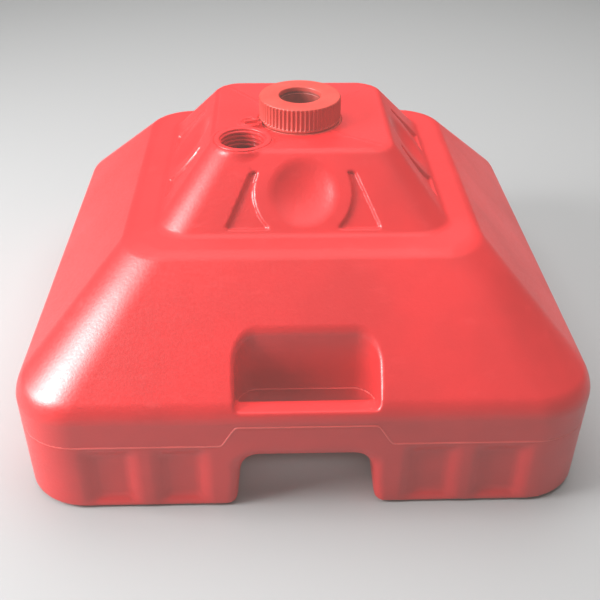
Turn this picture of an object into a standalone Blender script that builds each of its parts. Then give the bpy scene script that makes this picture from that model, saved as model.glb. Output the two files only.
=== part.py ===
"""Water filled barrier base: a hollow square tank with two carrying handles, a clamping socket for a
38 mm pole at the top and a threaded filling mouth. Metres, +Z up; the origin is the middle of the
underside and the two handles look along -Y and +Y."""

import math

import bmesh
import bpy
from mathutils import Matrix, Vector

# Tank: half widths and heights of the outer form, wall and edge radii
BASE_HALF = 0.250
SHOULDER_Z = 0.1075
LEDGE_HALF = 0.155
LEDGE_Z = 0.2035
TIER_HALF = 0.130
TIER_Z = 0.205
TOP_HALF = 0.0804
TOP_Z = 0.264
CORNER_R = 0.055
LEDGE_CORNER_R = 0.040
TIER_CORNER_R = 0.030
TOP_CORNER_R = 0.022
FOOT_R = 0.015
SHOULDER_R = 0.018
LEDGE_R = 0.008
TOP_R = 0.006
WALL = 0.004
SEAM_Z = 0.0723
SEAM_RISE = 0.021
SEAM_RUN = 0.012
SEAM_CREST_HALF = 0.060
INNER_CORNER_R = 0.004
GAP = 0.0003
NUDGE = 0.0002
BEYOND = 0.012

# Carrying handles, front and back
WINDOW_HALF = 0.061
WINDOW_CORNER_R = 0.019
PASSAGE_FRONT_R = 0.006
GRIP_DEPTH = 0.022
GRIP_TOP_Z = 0.110
FINGER_ROOM = 0.0264
NOTCH_TOP_HALF = 0.055
NOTCH_FOOT_HALF = 0.061
NOTCH_Z = 0.0625
NOTCH_CORNER_R = 0.016
NOTCH_FLARE = 0.009
NOTCH_SLOPE_RUN = 0.050
NOTCH_SLOPE_START = 0.004
NOTCH_END_Z = 0.001
NOTCH_ROUND_SHARE = 0.9
WELL_FOOT_DROP = 0.030

# Sunk panels on the lower walls, two each side of the middle of every wall
PANEL_CENTRES = (0.10775, 0.1715)
PANEL_WIDTH = 0.0395
PANEL_DEPTH = 0.005
PANEL_DRAFT = 0.004
PANEL_MARGIN = 0.004

# Dish and two three-sided pockets on every face of the upper tier
DISH_R = 0.0285
DISH_DEPTH = 0.006
POCKET_RING_R = 0.0435
POCKET_DEPTH = 0.002
POCKET_TOP = (0.045, 0.018)
POCKET_FOOT = (0.067, -0.0315)
POCKET_ARC_END = 0.95
DISH_SHARES = (0.04, 0.36, 0.68, 1.0, 1.25)

# Pole socket and its clamp
POLE_R = 0.0190
POLE_CLEARANCE = 0.0003
TUBE_WALL = 0.003
TUBE_FLOOR = 0.004
CUP_WALL = 0.0025
CUP_DEPTH = 0.011
CUP_BASE = 0.0025
BORE_STEP = 0.0002
TUBE_EDGE = 0.001
FLOOR_RING_WALL = 0.0035
FLOOR_RING_Z = 0.016
COLLET_WALL = 0.0014
COLLET_TAPER = 0.30
COLLET_HEIGHT = 0.013
COLLET_SLIT = 0.003
FIT = 0.0004
SEAL_THICK = 0.001
WASHER_THICK = 0.0012
NECK_WALL = 0.0027
NECK_FLANGE = 0.0022
NECK_SPIGOT = 0.0085
NECK_RISE = 0.0015
SPIGOT_STEP = 0.003
SEAT_RIM = 0.0035
SEAT_DEPTH = 0.0025
DISH_TO_NECK = 0.0052
NUT_LIP = 0.0009
NUT_FLOAT = 0.0005
NUT_RIM = 0.0022
NUT_CHAMFER = (0.0030, 0.0026)
NUT_HEIGHT = 0.0227
NUT_TOP = 0.0042
NUT_WALL = 0.0042
RIBS = 52
RIB_DEPTH = 0.0012
THREAD_PITCH = 0.005
THREAD_DEPTH = 0.0023
THREAD_CLEARANCE = 0.0007
THREAD_ROOT = 0.0026
THREAD_TIP = 0.0014
THREAD_BURY = 0.0008
THREAD_FOOT_SPACE = 0.0008
THREAD_TOP_SPACE = 0.0016
EDGE = 0.0006

# Filling mouth and vent plug
FILL_SPACE = 0.0116
FILL_AZIMUTH = math.radians(227)
FILL_R = 0.0210
FILL_WALL = 0.0027
FILL_FLANGE_R = 0.026
FILL_FLANGE = 0.0012
FILL_DEPTH = 0.018
FILL_PITCH = 0.004
FILL_THREAD_DEPTH = 0.0012
FILL_THREAD_ROOT = 0.0018
FILL_THREAD_TIP = 0.0008
FILL_THREAD_DROP = 0.0035
FILL_TURNS = 3.0
BOSS_DROP = 0.0014
BOSS_RIM = 0.0016
BOSS_LIP = 0.0005
BOSS_FLARE = 0.002
BOSS_BRIDGE = 0.012
BOSS_HEIGHT = 0.016
VENT_SPACE = 0.0025
VENT_AZIMUTH = math.radians(199)
VENT_SEAT_DEPTH = 0.004
VENT_CORE_HEIGHT = 0.011
VENT_HEAD_R = 0.0081
VENT_HEAD = 0.0022
VENT_SHANK_R = 0.0055
VENT_SHANK = 0.011
VENT_BAR = (0.0125, 0.003, 0.0016)
VENT_BAR_TURN = math.radians(12)
VENT_RIM = 0.0018

# Heights that follow
NECK_PLANE_Z = TOP_Z - DISH_TO_NECK
SEAT_Z = NECK_PLANE_Z - SEAT_DEPTH
FLANGE_TOP_Z = SEAT_Z + GAP + NECK_FLANGE
NUT_Z = FLANGE_TOP_Z + NUT_FLOAT
NUT_TOP_Z = NUT_Z + NUT_HEIGHT
NUT_PLATE_Z = NUT_TOP_Z - NUT_TOP
WASHER_Z = NUT_PLATE_Z - GAP - WASHER_THICK
COLLET_TOP_Z = WASHER_Z - GAP
COLLET_Z = COLLET_TOP_Z - COLLET_HEIGHT
CUP_FLOOR_Z = COLLET_Z - FIT
CUP_TOP_Z = CUP_FLOOR_Z + CUP_DEPTH
NECK_TOP_Z = CUP_TOP_Z + NECK_RISE
CUP_FOOT_Z = CUP_FLOOR_Z - CUP_BASE
SEAL_Z = CUP_FOOT_Z - GAP - SEAL_THICK
NECK_SHELF_Z = SEAL_Z - GAP
POCKET_FLOOR_Z = WALL + NUDGE
TUBE_FOOT_Z = POCKET_FLOOR_Z + GAP
BOSS_Z = TOP_Z - BOSS_DROP
VENT_SEAT_Z = BOSS_Z - VENT_SEAT_DEPTH
VENT_SEAL_Z = VENT_SEAT_Z + GAP
VENT_HEAD_Z = VENT_SEAL_Z + SEAL_THICK + GAP
THREAD_Z = FLANGE_TOP_Z + THREAD_ROOT / 2 + THREAD_FOOT_SPACE
THREAD_TURNS = (NECK_TOP_Z - THREAD_TOP_SPACE - THREAD_ROOT / 2 - THREAD_Z) / THREAD_PITCH

# Radii that follow
TUBE_BORE_R = POLE_R + POLE_CLEARANCE
TUBE_R = TUBE_BORE_R + TUBE_WALL
COLLET_BORE_R = TUBE_BORE_R + BORE_STEP
NUT_BORE_R = COLLET_BORE_R + BORE_STEP
COLLET_FOOT_R = COLLET_BORE_R + COLLET_WALL
COLLET_TOP_R = COLLET_FOOT_R + COLLET_TAPER * COLLET_HEIGHT
CUP_MOUTH_R = COLLET_FOOT_R + FIT + COLLET_TAPER * CUP_DEPTH
CUP_R = CUP_MOUTH_R + CUP_WALL
NECK_BORE_R = CUP_R + FIT
NECK_R = NECK_BORE_R + NECK_WALL
THREAD_R = NECK_R + THREAD_DEPTH
NUT_ROOT_R = THREAD_R + THREAD_CLEARANCE
NUT_R = NUT_ROOT_R + NUT_WALL + RIB_DEPTH
FLANGE_R = NUT_R + NUT_LIP
SEAT_R = FLANGE_R + GAP
NECK_RING_R = SEAT_R + SEAT_RIM
SPIGOT_R = NECK_R + SPIGOT_STEP
FILL_BODY_R = FILL_R + FILL_WALL
FILL_BORE_R = FILL_BODY_R + GAP
BOSS_R = FILL_FLANGE_R + BOSS_RIM
VENT_RECESS_R = VENT_HEAD_R + FIT
VENT_HOLE_R = VENT_SHANK_R + FIT
VENT_BOSS_R = VENT_RECESS_R + VENT_RIM

# The filling mouth and the vent stand round the nut, clear of it
FILL_OUT = NUT_R + FILL_SPACE + BOSS_R
VENT_OUT = NUT_R + VENT_SPACE + VENT_HEAD_R
FILL_AT = (FILL_OUT * math.cos(FILL_AZIMUTH), FILL_OUT * math.sin(FILL_AZIMUTH))
VENT_AT = (VENT_OUT * math.cos(VENT_AZIMUTH), VENT_OUT * math.sin(VENT_AZIMUTH))

# Handle planes, measured from the middle of the tank
GRIP_BACK = BASE_HALF - GRIP_DEPTH
PASSAGE_BACK = GRIP_BACK - FINGER_ROOM

CORNER_STEPS = 5
PROFILE_STEPS = 2
ROUND_STEPS = 36
SMALL_STEPS = 20
RED = (0.62, 0.022, 0.018)
NUT_RED = (0.62, 0.045, 0.022)
LINER_GREY = (0.24, 0.24, 0.25)
WHITE_NYLON = (0.80, 0.79, 0.75)
BLACK_RUBBER = (0.02, 0.02, 0.02)


def clear_scene():
    for obj in list(bpy.data.objects):
        bpy.data.objects.remove(obj, do_unlink=True)


def new_collection(name, hidden):
    collection = bpy.data.collections.new(name)
    collection.hide_render = hidden
    bpy.context.scene.collection.children.link(collection)
    return collection


def plastic(name, colour, roughness):
    material = bpy.data.materials.new(name)
    material.use_nodes = True
    shader = material.node_tree.nodes["Principled BSDF"]
    shader.inputs["Base Color"].default_value = (*colour, 1)
    shader.inputs["Roughness"].default_value = roughness
    shader.inputs["Metallic"].default_value = 0.0
    material.diffuse_color = (*colour, 1)
    return material


def place(mesh, name, material=None):
    """An object for this mesh: a part when it has a material, otherwise a cutter."""
    obj = bpy.data.objects.new(name, mesh)
    if material:
        PARTS.objects.link(obj)
        mesh.materials.append(material)
        mesh.shade_smooth()
        mesh.set_sharp_from_angle(angle=math.radians(32))
    else:
        CUTTERS.objects.link(obj)
        obj.hide_render = True
        obj.display_type = "WIRE"
    return obj


def boolean(obj, other, operation="DIFFERENCE"):
    modifier = obj.modifiers.new(f"{operation.lower()} {other.name}", "BOOLEAN")
    modifier.operation = operation
    modifier.solver = "EXACT"
    modifier.object = other


def loft_into(bm, rings):
    """A closed skin through rings of equally many points, with a flat cap at each end."""
    loops = [[bm.verts.new(point) for point in ring] for ring in rings]
    count = len(loops[0])
    for low, high in zip(loops, loops[1:]):
        for i in range(count):
            j = (i + 1) % count
            bm.faces.new((low[i], low[j], high[j], high[i]))
    bm.faces.new(reversed(loops[0]))
    bm.faces.new(loops[-1])


def lofts(name, groups, material=None):
    """One object from one or more lofts that don't touch each other."""
    bm = bmesh.new()
    for rings in groups:
        loft_into(bm, rings)
    bmesh.ops.recalc_face_normals(bm, faces=bm.faces)
    bmesh.ops.triangulate(bm, faces=[face for face in bm.faces if len(face.verts) > 4])
    mesh = bpy.data.meshes.new(name)
    bm.to_mesh(mesh)
    bm.free()
    return place(mesh, name, material)


def turned(name, profile, material=None, at=(0, 0), steps=ROUND_STEPS):
    """A profile of (radius, height) points, down the outer side first, turned about a vertical axis."""
    closed = profile[0][0] > 0 and profile[-1][0] > 0
    bm = bmesh.new()
    verts = [bm.verts.new((radius, 0, height)) for radius, height in profile]
    for start, end in zip(verts, verts[1:] + verts[:1] if closed else verts[1:]):
        bm.edges.new((start, end))
    mesh = bpy.data.meshes.new(name)
    bm.to_mesh(mesh)
    bm.free()
    obj = place(mesh, name, material)
    obj.location = (*at, 0)
    screw = obj.modifiers.new("turn", "SCREW")
    screw.steps = screw.render_steps = steps
    screw.use_merge_vertices = True
    screw.merge_threshold = 0.00001
    screw.use_smooth_shade = True
    return obj


def circle(radius, height, at=(0, 0), count=ROUND_STEPS):
    turn = 2 * math.pi / count
    return [
        (at[0] + radius * math.cos(i * turn), at[1] + radius * math.sin(i * turn), height)
        for i in range(count)
    ]


def drum(name, radius, low, high, at=(0, 0), top_radius=None, count=ROUND_STEPS):
    """A cutter or a core: a cylinder, or a cone when it has a top radius."""
    top_radius = top_radius or radius
    return lofts(name, [[circle(radius, low, at, count), circle(top_radius, high, at, count)]])


def rounded_corners(corners, radii, steps=CORNER_STEPS):
    """A flat outline with each corner rounded by its own radius; a radius of 0 keeps the corner."""
    outline = []
    for i, corner in enumerate(corners):
        corner = Vector(corner)
        back = (Vector(corners[i - 1]) - corner).normalized()
        ahead = (Vector(corners[(i + 1) % len(corners)]) - corner).normalized()
        if radii[i] == 0:
            outline.append(corner)
            continue
        half = back.angle(ahead) / 2
        centre = corner + (back + ahead).normalized() * radii[i] / math.sin(half)
        start = corner + back * radii[i] / math.tan(half) - centre
        end = corner + ahead * radii[i] / math.tan(half) - centre
        for k in range(steps + 1):
            share = k / steps
            turn = start.angle(end)
            spoke = (start * math.sin((1 - share) * turn) + end * math.sin(share * turn)) / math.sin(turn)
            outline.append(centre + spoke)
    return outline


def square_ring(half, radius, height):
    corners = [(half, -half), (half, half), (-half, half), (-half, -half)]
    radius = min(radius, half * 0.999)
    return [(*point, height) for point in rounded_corners(corners, [radius] * 4)]


def corner_radius(half, height):
    """Plan radius of the tank's corner at one level of its outside."""
    if height < SHOULDER_Z:
        return CORNER_R - (BASE_HALF - half)
    levels = [
        (NECK_RING_R, NECK_RING_R), (TOP_HALF, TOP_CORNER_R), (TIER_HALF, TIER_CORNER_R),
        (LEDGE_HALF, LEDGE_CORNER_R), (BASE_HALF, CORNER_R),
    ]
    for (low, low_r), (high, high_r) in zip(levels, levels[1:]):
        if half <= high:
            return low_r + (high_r - low_r) * (half - low) / (high - low)
    return CORNER_R


def tank_profile():
    """(half width, height) down the middle of one face, from the underside up to the neck."""
    corners = [
        (0, 0), (BASE_HALF, 0), (BASE_HALF, SHOULDER_Z), (LEDGE_HALF, LEDGE_Z),
        (TIER_HALF, TIER_Z), (TOP_HALF, TOP_Z), (NECK_RING_R, NECK_PLANE_Z),
    ]
    radii = [0, FOOT_R, SHOULDER_R, LEDGE_R, 0, TOP_R, 0]
    return [tuple(point) for point in rounded_corners(corners, radii, PROFILE_STEPS)][1:]


def inner_profile(profile, wall):
    """The outer profile moved inwards by the wall, along the mean of its two edge normals."""
    points = [Vector(point) for point in [(0, 0), *profile, (0, NECK_PLANE_Z)]]
    inner = []
    for before, point, after in zip(points, points[1:], points[2:]):
        first = (point - before).normalized()
        second = (after - point).normalized()
        normal = Vector((first.y + second.y, -first.x - second.x)).normalized()
        inner.append(point - normal * wall / normal.dot(Vector((first.y, -first.x))))
    inner[-1].y = SEAT_Z - wall
    return inner


def tank_form(name, material):
    profile = tank_profile()
    rings = [square_ring(half, corner_radius(half, height), height) for half, height in profile]
    return lofts(name, [rings], material)


def cavity_form():
    profile = tank_profile()
    rings = []
    for (half, height), inner in zip(profile, inner_profile(profile, WALL)):
        radius = corner_radius(half, height) - (half - inner.x)
        rings.append(square_ring(inner.x, max(radius, INNER_CORNER_R), inner.y))
    return lofts("cavity", [rings])


def around(quarters):
    return [Matrix.Rotation(math.radians(90 * quarter), 4, "Z") for quarter in quarters]


def moved(rings, matrix):
    return [[matrix @ Vector(point) for point in ring] for ring in rings]


def window_rings(grow):
    """The hand hole from above: a straight well behind the grip, widened forwards over the grip."""
    half = WINDOW_HALF + grow
    back = PASSAGE_BACK - grow
    front = GRIP_BACK + grow
    corners = [(-half, -front), (half, -front), (half, -back), (-half, -back)]
    back_r = WINDOW_CORNER_R + grow
    radii = [PASSAGE_FRONT_R + grow] * 2 + [back_r] * 2
    outline = rounded_corners(corners, radii)
    return [[(*point, height) for point in outline] for height in (NOTCH_Z - WELL_FOOT_DROP, LEDGE_Z)]


def grip_clear_rings(grow):
    """The space over the grip, which takes the slope off it."""
    half = WINDOW_HALF + grow - NUDGE
    back = (PASSAGE_BACK + GRIP_BACK) / 2
    front = BASE_HALF + BEYOND
    corners = [(-half, -front), (half, -front), (half, -back), (-half, -back)]
    low = GRIP_TOP_Z - grow
    return [[(*corner, height) for corner in corners] for height in (low, LEDGE_Z)]


def notch_rings(grow):
    """The finger space under the grip, open to the front and below, its ceiling sloping down inwards."""
    stations = (
        (-BASE_HALF - BEYOND, NOTCH_Z + grow),
        (-PASSAGE_BACK + NOTCH_SLOPE_START + grow, NOTCH_Z + grow),
        (-PASSAGE_BACK + NOTCH_SLOPE_RUN + grow, NOTCH_END_Z + grow),
    )
    rings = []
    for y, top in stations:
        share = top / (NOTCH_Z + grow)
        foot = NOTCH_FOOT_HALF + grow
        upper = foot + (NOTCH_TOP_HALF - NOTCH_FOOT_HALF) * share
        flare = foot + NOTCH_FLARE
        corners = [
            (-flare, -BEYOND), (flare, -BEYOND), (flare, -NOTCH_END_Z), (foot, NOTCH_FLARE * share),
            (upper, top), (-upper, top), (-foot, NOTCH_FLARE * share), (-flare, -NOTCH_END_Z),
        ]
        radius = (NOTCH_CORNER_R + grow) * share * NOTCH_ROUND_SHARE
        outline = rounded_corners(corners, [0, 0, 0, 0, radius, radius, 0, 0])
        rings.append([(x, y, z) for x, z in outline])
    return rings


def panel_rings(centre, grow):
    """One sunk panel of the front wall, its walls drafted, running out below the underside."""
    outer = PANEL_WIDTH / 2 + grow
    inner = outer - PANEL_DRAFT
    top = SEAM_Z - PANEL_MARGIN + grow
    rings = []
    for y, half, height in (
        (-BASE_HALF - PANEL_DEPTH, outer + PANEL_DRAFT, top + PANEL_DRAFT),
        (-BASE_HALF + PANEL_DEPTH + grow, inner, top - PANEL_DRAFT),
    ):
        rings.append([
            (centre - half, y, -BEYOND), (centre + half, y, -BEYOND),
            (centre + half, y, height), (centre - half, y, height),
        ])
    return rings


def tier_face():
    """Frame on the middle of the front face of the upper tier: X along it, Y up the slope, Z out."""
    slope = Vector((0, TIER_HALF - TOP_HALF, TOP_Z - TIER_Z)).normalized()
    out = Vector((0, -slope.z, slope.y))
    middle = Vector((0, -(TIER_HALF + TOP_HALF) / 2, (TIER_Z + TOP_Z) / 2))
    matrix = Matrix((Vector((1, 0, 0)), slope, out)).transposed().to_4x4()
    matrix.translation = middle
    return matrix


def dish_rings(grow):
    """A shallow ball-shaped dish, from below its deepest point to above the face."""
    ball = (DISH_R ** 2 + DISH_DEPTH ** 2) / (2 * DISH_DEPTH)
    reach = ball + grow
    rings = []
    for share in DISH_SHARES:
        angle = share * math.asin(DISH_R / ball)
        height = ball - DISH_DEPTH - reach * math.cos(angle)
        rings.append(circle(reach * math.sin(angle), height, count=SMALL_STEPS))
    return rings


def pocket_rings(side):
    """A three-sided pocket beside the dish; its inner edge keeps an even rib round the dish."""
    start = math.asin(POCKET_FOOT[1] / POCKET_RING_R)
    end = math.asin(POCKET_TOP[1] / POCKET_RING_R) * POCKET_ARC_END
    arc = [
        (POCKET_RING_R * math.cos(start + (end - start) * k / CORNER_STEPS),
         POCKET_RING_R * math.sin(start + (end - start) * k / CORNER_STEPS))
        for k in range(CORNER_STEPS + 1)
    ]
    outline = arc + [POCKET_TOP, POCKET_FOOT]
    return [[(side * x, y, height) for x, y in outline] for height in (-POCKET_DEPTH, BEYOND / 2)]


def below_seam(name, drop):
    """Everything under the parting line, which climbs over each handle."""
    wide = BASE_HALF + BEYOND
    top = SEAM_Z - drop
    obj = lofts(name, [[square_ring(wide, CORNER_R, -BEYOND), square_ring(wide, CORNER_R, top)]])
    inner = PASSAGE_BACK - WALL - BEYOND / 2
    crest = SEAM_CREST_HALF - drop
    skirt = SEAM_RISE + BEYOND
    foot = crest + SEAM_RUN * skirt / SEAM_RISE
    high = top + SEAM_RISE
    outline = [(-foot, high - skirt), (foot, high - skirt), (crest, high), (-crest, high)]
    hump = [[(x, y, z) for x, z in outline] for y in (-wide - NUDGE, -inner)]
    boolean(obj, lofts(name + "_humps", [moved(hump, turn) for turn in around((0, 2))]), "UNION")
    return obj


def hollow(tank):
    """The tank's shared history: bosses on, cavity and every opening out."""
    for cutter in SHARED["outside"]:
        boolean(tank, cutter)
    boolean(tank, SHARED["boss"], "UNION")
    boolean(tank, SHARED["cavity"])
    boolean(tank, SHARED["vent_core"], "UNION")
    boolean(tank, SHARED["floor_ring"], "UNION")
    for cutter in SHARED["holes"]:
        boolean(tank, cutter)


def handle_cutters(prefix, grow):
    cutters = []
    for name, rings in (("well", window_rings), ("grip", grip_clear_rings), ("notch", notch_rings)):
        both = [moved(rings(grow), turn) for turn in around((0, 2))]
        cutters.append(lofts(f"{prefix}_{name}", both))
    return cutters


def face_cutters(prefix, grow):
    face = tier_face()
    turns = around(range(4))
    panels = [
        moved(panel_rings(side * centre, grow), turn)
        for turn in turns for centre in PANEL_CENTRES for side in (-1, 1)
    ]
    dishes = [moved(dish_rings(grow), turn @ face) for turn in turns]
    return [lofts(f"{prefix}_panels", panels), lofts(f"{prefix}_dishes", dishes)]


def make_shared():
    """Cutters and cores that both halves of the tank use."""
    cavity = cavity_form()
    for cutter in handle_cutters("inner", WALL) + face_cutters("inner", WALL):
        boolean(cavity, cutter)
    face = tier_face()
    pockets = [
        moved(pocket_rings(side), turn @ face) for turn in around(range(4)) for side in (-1, 1)
    ]
    outside = handle_cutters("outer", 0) + face_cutters("outer", 0) + [lofts("outer_pockets", pockets)]
    foot = BOSS_Z - BOSS_HEIGHT
    boss = drum("fill_boss", BOSS_R + BOSS_FLARE, foot, BOSS_Z + BOSS_LIP, FILL_AT, BOSS_R)
    foot += BOSS_HEIGHT / 3
    vent_boss = drum("vent_boss", VENT_BOSS_R + BOSS_FLARE / 2, foot, BOSS_Z + BOSS_LIP - NUDGE / 2, VENT_AT,
                     VENT_BOSS_R)
    start, end = Vector((*FILL_AT, 0)), Vector((*VENT_AT, 0))
    side = Vector((start.y - end.y, end.x - start.x, 0)).normalized() * BOSS_BRIDGE / 2
    bridge_rings = [
        [corner + Vector((0, 0, z)) for corner in (start - side, end - side, end + side, start + side)]
        for z in (foot + NUDGE, BOSS_Z - NUDGE)
    ]
    boolean(boss, vent_boss, "UNION")
    boolean(boss, lofts("boss_bridge", [bridge_rings]), "UNION")
    return {
        "outside": outside,
        "cavity": cavity,
        "boss": boss,
        "vent_core": drum("vent_core", VENT_BOSS_R - VENT_RIM / 2, VENT_SEAT_Z - VENT_CORE_HEIGHT,
                          VENT_SEAT_Z - NUDGE, VENT_AT),
        "floor_ring": drum("floor_ring", TUBE_R + FIT + FLOOR_RING_WALL, WALL / 2, FLOOR_RING_Z),
        "holes": [
            drum("tube_pocket", TUBE_R + FIT, POCKET_FLOOR_Z, FLOOR_RING_Z + BEYOND),
            drum("neck_seat", SEAT_R, SEAT_Z, TOP_Z + BEYOND),
            drum("neck_hole", SPIGOT_R + GAP, SEAT_Z - 2 * BEYOND, TOP_Z + BEYOND - NUDGE),
            drum("fill_seat", FILL_FLANGE_R + GAP, BOSS_Z, TOP_Z + BEYOND, FILL_AT),
            drum("fill_hole", FILL_BORE_R, BOSS_Z - 3 * BEYOND, TOP_Z + BEYOND - NUDGE, FILL_AT),
            drum("vent_recess", VENT_RECESS_R, VENT_SEAT_Z, TOP_Z + BEYOND, VENT_AT, count=SMALL_STEPS),
            drum("vent_hole", VENT_HOLE_R, VENT_SEAT_Z - 2 * BEYOND, TOP_Z, VENT_AT, count=SMALL_STEPS),
        ],
    }


def make_tank():
    upper = tank_form("tank_upper", plastic("tank red", RED, 0.45))
    hollow(upper)
    boolean(upper, below_seam("under_seam", 0))
    lower = tank_form("tank_lower", plastic("tank red low", RED, 0.5))
    hollow(lower)
    boolean(lower, below_seam("under_seam_gap", GAP), "INTERSECT")


def thread_rings(root, tip, pitch, low, turns, root_width, tip_width, steps, phase=0.0):
    """Four-sided ridge along a helix; its tip sinks into the wall over the first and last eighth turn."""
    count = round(turns * steps)
    fade = steps / 8
    rings = []
    for i in range(count + 1):
        angle = phase + 2 * math.pi * i / steps
        rise = low + pitch * i / steps
        share = min(1, i / fade, (count - i) / fade)
        crest = root + (tip - root) * (0.02 + 0.98 * share)
        bury = root - math.copysign(THREAD_BURY, tip - root)
        section = (
            (bury, -root_width / 2), (crest, -tip_width / 2),
            (crest, tip_width / 2), (bury, root_width / 2),
        )
        rings.append([
            (radius * math.cos(angle), radius * math.sin(angle), rise + dz) for radius, dz in section
        ])
    return rings


def make_neck():
    """Threaded neck fitting: flange on the tank's seat, spigot through the wall, thread for the nut."""
    tube_way = TUBE_R + FIT
    foot = SEAT_Z - NECK_SPIGOT
    neck = turned("neck", [
        (NECK_R - EDGE, NECK_TOP_Z), (NECK_R, NECK_TOP_Z - EDGE), (NECK_R, FLANGE_TOP_Z),
        (FLANGE_R - EDGE, FLANGE_TOP_Z), (FLANGE_R, FLANGE_TOP_Z - EDGE), (FLANGE_R, SEAT_Z + GAP),
        (SPIGOT_R, SEAT_Z + GAP), (SPIGOT_R, foot), (tube_way, foot), (tube_way, NECK_SHELF_Z),
        (NECK_BORE_R, NECK_SHELF_Z), (NECK_BORE_R, NECK_TOP_Z),
    ], plastic("neck red", NUT_RED, 0.45))
    ridge = thread_rings(
        NECK_R, THREAD_R, THREAD_PITCH, THREAD_Z, THREAD_TURNS, THREAD_ROOT, THREAD_TIP, ROUND_STEPS
    )
    boolean(neck, lofts("neck_thread", [ridge]), "UNION")


def make_pole_tube():
    """Dry liner for the pole: closed foot on the tank's floor, cup-shaped head that the collet sits in."""
    floor = TUBE_FOOT_Z + TUBE_FLOOR
    turned("pole_tube", [
        (0, floor), (TUBE_BORE_R - TUBE_EDGE, floor), (TUBE_BORE_R, floor + TUBE_EDGE),
        (TUBE_BORE_R, CUP_FLOOR_Z), (COLLET_FOOT_R + FIT, CUP_FLOOR_Z), (CUP_MOUTH_R, CUP_TOP_Z),
        (CUP_R, CUP_TOP_Z), (CUP_R, CUP_FOOT_Z), (TUBE_R, CUP_FOOT_Z), (TUBE_R, TUBE_FOOT_Z + TUBE_EDGE),
        (TUBE_R - TUBE_EDGE, TUBE_FOOT_Z), (0, TUBE_FOOT_Z),
    ], plastic("liner grey", LINER_GREY, 0.5))


def flat_ring(name, inner, outer, low, high, material, at=(0, 0), steps=ROUND_STEPS):
    profile = [(outer, high), (outer, low), (inner, low), (inner, high)]
    return turned(name, profile, material, at, steps)


def make_clamp():
    """Seal under the liner's head, split collet in its cup, slip washer and the nut that presses them."""
    rubber = plastic("seal rubber", BLACK_RUBBER, 0.7)
    flat_ring("tube_seal", TUBE_R + 2 * FIT, CUP_R - FIT, SEAL_Z, SEAL_Z + SEAL_THICK, rubber)
    collet = turned("collet", [
        (COLLET_TOP_R, COLLET_TOP_Z), (COLLET_FOOT_R, COLLET_Z), (COLLET_BORE_R, COLLET_Z),
        (COLLET_BORE_R, COLLET_TOP_Z),
    ], plastic("collet white", WHITE_NYLON, 0.4))
    half = COLLET_SLIT / 2
    reach = COLLET_TOP_R + BEYOND
    slit = [[(x, y, z) for x, y in ((0, -half), (reach, -half), (reach, half), (0, half))]
            for z in (COLLET_Z - BEYOND, COLLET_TOP_Z + BEYOND)]
    boolean(collet, lofts("collet_slit", [slit]))
    flat_ring("slip_washer", NUT_BORE_R + BORE_STEP, NECK_R - EDGE, WASHER_Z, WASHER_Z + WASHER_THICK,
              plastic("washer white", WHITE_NYLON, 0.35))


def ribbed_ring(radius, depth, height):
    """A circle with a peak and a valley for every rib."""
    turn = math.pi / RIBS
    spokes = [radius - depth * (i % 2) for i in range(2 * RIBS)]
    return [(r * math.cos(i * turn), r * math.sin(i * turn), height) for i, r in enumerate(spokes)]


def make_nut():
    """Ribbed collar nut: plain rim, ribs, chamfered flat top, thread inside and a hole for the pole."""
    rim = NUT_Z + NUT_RIM
    inset, drop = NUT_CHAMFER
    levels = [
        (NUT_R, 0, NUT_Z), (NUT_R, 0, rim), (NUT_R, RIB_DEPTH, rim + EDGE),
        (NUT_R, RIB_DEPTH, NUT_TOP_Z - drop), (NUT_R - inset, 0, NUT_TOP_Z),
    ]
    nut = lofts("collar_nut", [[ribbed_ring(*level) for level in levels]], plastic("nut red", NUT_RED, 0.4))
    top, foot = NUT_TOP_Z + drop, NUT_Z - drop
    hole = turned("nut_hole", [
        (0, top), (NUT_BORE_R + inset, top), (NUT_BORE_R, NUT_TOP_Z - TUBE_EDGE),
        (NUT_BORE_R, NUT_PLATE_Z), (NUT_ROOT_R, NUT_PLATE_Z), (NUT_ROOT_R, foot), (0, foot),
    ])
    boolean(nut, hole)
    ridge = thread_rings(
        NUT_ROOT_R, NECK_R + THREAD_CLEARANCE, THREAD_PITCH, THREAD_Z + THREAD_PITCH / 2, THREAD_TURNS,
        THREAD_ROOT, THREAD_TIP, ROUND_STEPS
    )
    boolean(nut, lofts("nut_thread", [ridge]), "UNION")


def make_fill_neck():
    """Threaded filling mouth pressed into its boss, open at the top."""
    flange_z = BOSS_Z + GAP
    top = flange_z + FILL_FLANGE
    foot = flange_z - FILL_DEPTH
    neck = turned("fill_neck", [
        (FILL_FLANGE_R - EDGE, top), (FILL_FLANGE_R, top - EDGE), (FILL_FLANGE_R, flange_z),
        (FILL_BODY_R, flange_z), (FILL_BODY_R, foot), (FILL_R, foot), (FILL_R, top - TUBE_EDGE),
        (FILL_R + TUBE_EDGE, top),
    ], plastic("mouth red", RED, 0.4), FILL_AT)
    low = top - FILL_THREAD_DROP - FILL_PITCH * FILL_TURNS
    ridge = thread_rings(
        FILL_R, FILL_R - FILL_THREAD_DEPTH, FILL_PITCH, low, FILL_TURNS, FILL_THREAD_ROOT, FILL_THREAD_TIP,
        SMALL_STEPS
    )
    place_at = Matrix.Translation((*FILL_AT, 0))
    boolean(neck, lofts("fill_thread", [moved(ridge, place_at)]), "UNION")


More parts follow.
